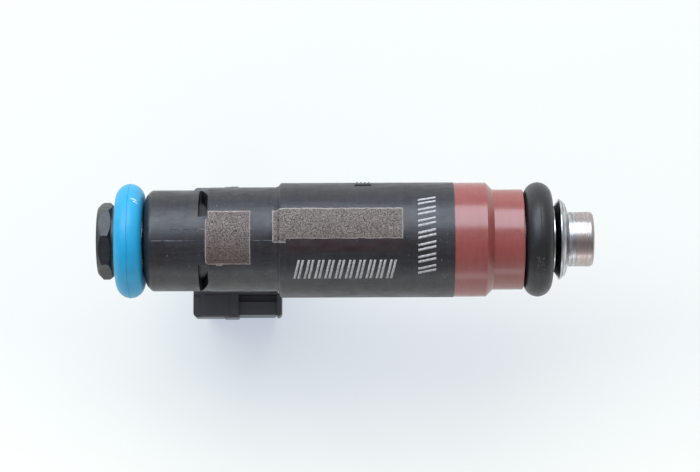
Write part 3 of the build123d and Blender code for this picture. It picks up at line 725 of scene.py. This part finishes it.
def make_ring_details(seals):
    """The O-rings' mould lines, the nick in the rail seal and the crimp line at the tip."""
    blue_line = rubber(
        "blue_flash", (0.010, 0.22, 0.42, 1), (0.012, 0.25, 0.47, 1), (0.20, 0.42, 0.60, 1), 0.45
    )
    black_line = rubber(
        "black_flash", (0.008, 0.008, 0.009, 1), (0.013, 0.013, 0.015, 1), (0.1, 0.09, 0.08, 1), 0.45
    )
    flashes = (("upper_o_ring", blue_line, "blue_rubber"), ("lower_o_ring", black_line, "black_rubber"))
    for name, shader, slot in flashes:
        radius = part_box(name)[1].z / MM - FLASH_SINK
        make_bead(f"{name}_flash", ring_middle(name), radius, FLASH_RADIUS, shader, FLASH_WANDER)
    steel = scored_metal("crimp_steel", (0.62, 0.60, 0.58), 0.2)
    make_bead("tip_crimp_line", TIP_END - CRIMP_FROM_END, TIP_RADIUS, CRIMP_RADIUS, steel)
    middle = ring_middle("upper_o_ring")
    tree = seals["upper_o_ring"]
    nick = [
        wrapped_rectangle(tree, (middle + 0.35, middle + 1.15), (46.5, 48.0)),
        wrapped_rectangle(tree, (middle + 0.75, middle + 1.25), (43.5, 44.8)),
    ]
    torn = dust("torn_rubber", (0.45, 0.75, 0.90, 1), (0.70, 0.88, 0.95, 1))
    wrapped_piece("rail_seal_nick", tree, nick, torn, cell=0.1, rise=0.03, rag=0.12)


ALL_ROUND = (-180.0, 180.0)
LINT_SIZE = (0.02, 0.06)
GRIT_SIZE = (0.02, 0.055)


def make_dust(tree, seals):
    """Lint on the body and grit on the manifold seal. The last number is each piece's seed."""
    lint = dust("lint", (0.26, 0.255, 0.25, 1), (0.48, 0.47, 0.46, 1))
    grit = dust("grit", (0.16, 0.12, 0.09, 1), (0.34, 0.28, 0.22, 1))
    neck = (NECK_START + 1.3, SLOT_MIDDLE - 1.0)
    saddle = (SLOT_MIDDLE + 1.5, SADDLE_END)
    barrel = (BARREL_START, SLEEVE_START - 0.3)
    for name, count, along_span, around_span, seed in (
        ("lint_neck", 40, neck, ALL_ROUND, 11),
        ("lint_saddle", 30, saddle, (-90.0, 90.0), 12),
        ("lint_barrel", 90, barrel, ALL_ROUND, 13),
    ):
        make_specks(name, tree, count, along_span, around_span, LINT_SIZE, lint, seed)
    for name, count, along_span, around_span, size_span, seed in (
        ("grit_scattered", 50, (-1.3, 1.3), ALL_ROUND, GRIT_SIZE, 14),
        ("grit_patch", 40, (-0.5, 0.5), (-32.0, -16.0), LINT_SIZE, 15),
    ):
        seal = seals["lower_o_ring"]
        make_specks(name, seal, count, along_span, around_span, size_span, grit, seed)


# ---------------------------------------------------------------- camera, light and floor
FLOOR_SIZE = 3.0
FLOOR_GAP = 0.03 * MM
FLOOR_GLOW = (0.415, 0.485, 0.590, 1)
# painted light: the floor glows brighter towards −Y, between these two Y places in mm, lifting the shadow
# that falls there
FLOOR_PAINTED_LIGHT = (0.530, 0.595, 0.660, 1)
FLOOR_PAINTED_LIGHT_SPAN = (-9.0, -34.0)
FLOOR_COLOUR = (0.488, 0.427, 0.309, 1)
FLOOR_COLOUR_DULL = (0.478, 0.418, 0.303, 1)
CAMERA_DISTANCE = 314 * MM
LENS = 126.4
SENSOR = 36.0
ROLL = math.radians(0.24)
AIM_ALONG = -23.9 * MM
AIM_ABOVE = 0.53 * MM
LIGHT_DISTANCE = 0.6
WINDOW_TILT = math.radians(42)
WINDOW_SHIFT = Vector((-0.12, 0, 0))
FILL_TILT = math.radians(78)
SKY = (
    (0.00, (0.80, 0.80, 0.84)),
    (0.10, (0.38, 0.37, 0.39)),
    (0.32, (0.23, 0.22, 0.23)),
    (0.50, (0.42, 0.43, 0.47)),
    (0.60, (0.60, 0.63, 0.70)),
    (1.00, (0.80, 0.84, 0.92)),
)


def make_camera():
    """The camera square to the injector's axis, on the side that the clip slots face."""
    along = Vector((1, 0, 0))
    above = FACING.cross(along)
    right = along * math.cos(ROLL) - above * math.sin(ROLL)
    up = along * math.sin(ROLL) + above * math.cos(ROLL)
    place = along * AIM_ALONG + above * AIM_ABOVE + FACING * CAMERA_DISTANCE
    data = bpy.data.cameras.new("camera")
    data.lens = LENS
    data.sensor_width = SENSOR
    data.clip_start = 0.001
    data.clip_end = 100.0
    camera = bpy.data.objects.new("camera", data)
    basis = Matrix((right, up, FACING)).transposed()
    camera.matrix_world = Matrix.Translation(place) @ basis.to_4x4()
    bpy.context.scene.collection.objects.link(camera)
    bpy.context.scene.camera = camera


def make_area_light(name, place, target, width, height, power, colour):
    """A rectangular soft light that looks at a target."""
    data = bpy.data.lights.new(name, "AREA")
    data.shape = "RECTANGLE"
    data.size = width
    data.size_y = height
    data.energy = power
    data.color = colour
    light = bpy.data.objects.new(name, data)
    light.location = place
    light.rotation_mode = "QUATERNION"
    light.rotation_quaternion = (Vector(target) - Vector(place)).to_track_quat("-Z", "Y")
    bpy.context.scene.collection.objects.link(light)
    return light


def make_world():
    """A pale studio: bright all round, with a dim stretch on the photographer's side."""
    world = bpy.data.worlds.new("studio")
    bpy.context.scene.world = world
    world.use_nodes = True
    tree = world.node_tree
    background = tree.nodes["Background"]
    direction = tree.nodes.new("ShaderNodeTexCoord")
    split = tree.nodes.new("ShaderNodeSeparateXYZ")
    tree.links.new(direction.outputs["Generated"], split.inputs["Vector"])
    ramp = tree.nodes.new("ShaderNodeValToRGB")
    shift = tree.nodes.new("ShaderNodeMapRange")
    tree.links.new(split.outputs["Y"], shift.inputs["Value"])
    shift.inputs["From Min"].default_value = -1.0
    shift.inputs["From Max"].default_value = 1.0
    tree.links.new(shift.outputs["Result"], ramp.inputs["Fac"])
    while len(ramp.color_ramp.elements) < len(SKY):
        ramp.color_ramp.elements.new(0.5)
    for element, (position, colour) in zip(ramp.color_ramp.elements, SKY):
        element.position = position
        element.color = (*colour, 1)
    tree.links.new(ramp.outputs["Color"], background.inputs["Color"])
    background.inputs["Strength"].default_value = 1.0


def make_floor():
    """A pale level floor under the connector's mouth, with painted light: it glows brighter towards −Y,
    where the shadow falls.
    """
    mesh = bpy.data.meshes.new("floor")
    corners = [(-1, -1), (1, -1), (1, 1), (-1, 1)]
    level = cad_box[0].z - FLOOR_GAP
    mesh.from_pydata([(x * FLOOR_SIZE, y * FLOOR_SIZE, level) for x, y in corners], [], [(0, 1, 2, 3)])
    floor = bpy.data.objects.new("floor", mesh)
    bpy.context.scene.collection.objects.link(floor)
    shader = Shader(
        "light_table",
        Specular_IOR_Level=0.0,
        Roughness=1.0,
        Emission_Strength=1.0,
    )
    # painted light: a brighter glow towards −Y, over the shadow there
    painted_light_ramp = shader.ramp(shader.axes()[1], *FLOOR_PAINTED_LIGHT_SPAN)
    glow = shader.mix(painted_light_ramp, FLOOR_GLOW, FLOOR_PAINTED_LIGHT)
    shader.feed(shader.surface.inputs["Emission Color"], glow)
    shader.colour(shader.mix(shader.noise(0.05, 2.0), FLOOR_COLOUR, FLOOR_COLOUR_DULL))
    floor.data.materials.append(shader.material)


def light_the_scene():
    """The pale world, a soft window on the far side and a weak fill on the near one."""
    make_world()
    middle = (cad_box[0] + cad_box[1]) / 2
    window_side = FACING * math.cos(WINDOW_TILT) + Vector((0, 1, 0)) * math.sin(WINDOW_TILT)
    place = middle + window_side * LIGHT_DISTANCE + WINDOW_SHIFT
    make_area_light("window", place, middle, 0.8, 0.5, 4.7, (0.78, 0.88, 1.0))
    fill = Matrix.Rotation(FILL_TILT, 3, "X") @ FACING
    make_area_light("fill", middle + fill * LIGHT_DISTANCE, middle, 0.9, 0.18, 0.5, (0.92, 0.96, 1.0))
    bpy.context.scene.view_settings.view_transform = "Standard"


# ---------------------------------------------------------------- putting it together
def paint_all():
    """Every CAD node's material."""
    steel = turned_steel("turned_steel")
    polished = turned_steel("polished_steel", (0.62, 0.62, 0.64, 1), None, 0.16)
    tint = (TIP_END - 1.9, TIP_END, (0.46, 0.36, 0.33, 1))
    tip = turned_steel("tip_steel", tint=tint)
    copper = wound_copper()
    looks = {
        "inlet_cap": black_plastic("cap_plastic"),
        "overmold": body_plastic(),
        "lower_sleeve": red_plastic(),
        "upper_o_ring": rubber(
            "blue_rubber", (0.010, 0.33, 0.58, 1), (0.014, 0.37, 0.64, 1), (0.32, 0.58, 0.75, 1), 0.40
        ),
        "lower_o_ring": rubber(
            "black_rubber", (0.010, 0.010, 0.011, 1), (0.016, 0.016, 0.018, 1), (0.20, 0.15, 0.11, 1), 0.38
        ),
        "seat_seal": rubber(
            "seal_rubber", (0.018, 0.018, 0.020, 1), (0.028, 0.028, 0.031, 1), (0.1, 0.1, 0.1, 1), 0.4
        ),
        "o_ring_retainer": polished,
        "valve_body": tip,
        "valve_ball": polished,
        "valve_seat": polished,
        "orifice_plate": polished,
        "filter_frame": pale_plastic("filter_plastic", (0.75, 0.72, 0.62)),
        "filter_screen": woven_screen(),
        "coil_bobbin": pale_plastic("bobbin_plastic", (0.12, 0.12, 0.12)),
        "coil_winding": copper,
        "coil_lead_1": copper,
        "coil_lead_2": copper,
        "coil_housing": scored_metal("plated_steel", (0.55, 0.56, 0.55), 0.3),
        "terminal_1": scored_metal("tinned_blade", (0.74, 0.73, 0.69), 0.28),
        "terminal_2": scored_metal("tinned_blade", (0.74, 0.73, 0.69), 0.28),
        "return_spring": scored_metal("spring_steel", (0.45, 0.45, 0.46), 0.3),
    }
    for name in nodes:
        paint(name, looks.get(name, steel))


def make_details():
    """Every piece that is added to the CAD nodes."""
    noise.seed_set(NOISE_SEED)
    bpy.context.view_layer.update()
    body_tree = surface_tree("overmold")
    seals = {name: surface_tree(name) for name in ("upper_o_ring", "lower_o_ring")}
    make_patches(body_tree)
    make_hatching(body_tree)
    make_mould_lines(body_tree)
    make_ring_details(seals)
    make_dust(body_tree, seals)


make_camera()
light_the_scene()
make_floor()
paint_all()
make_details()
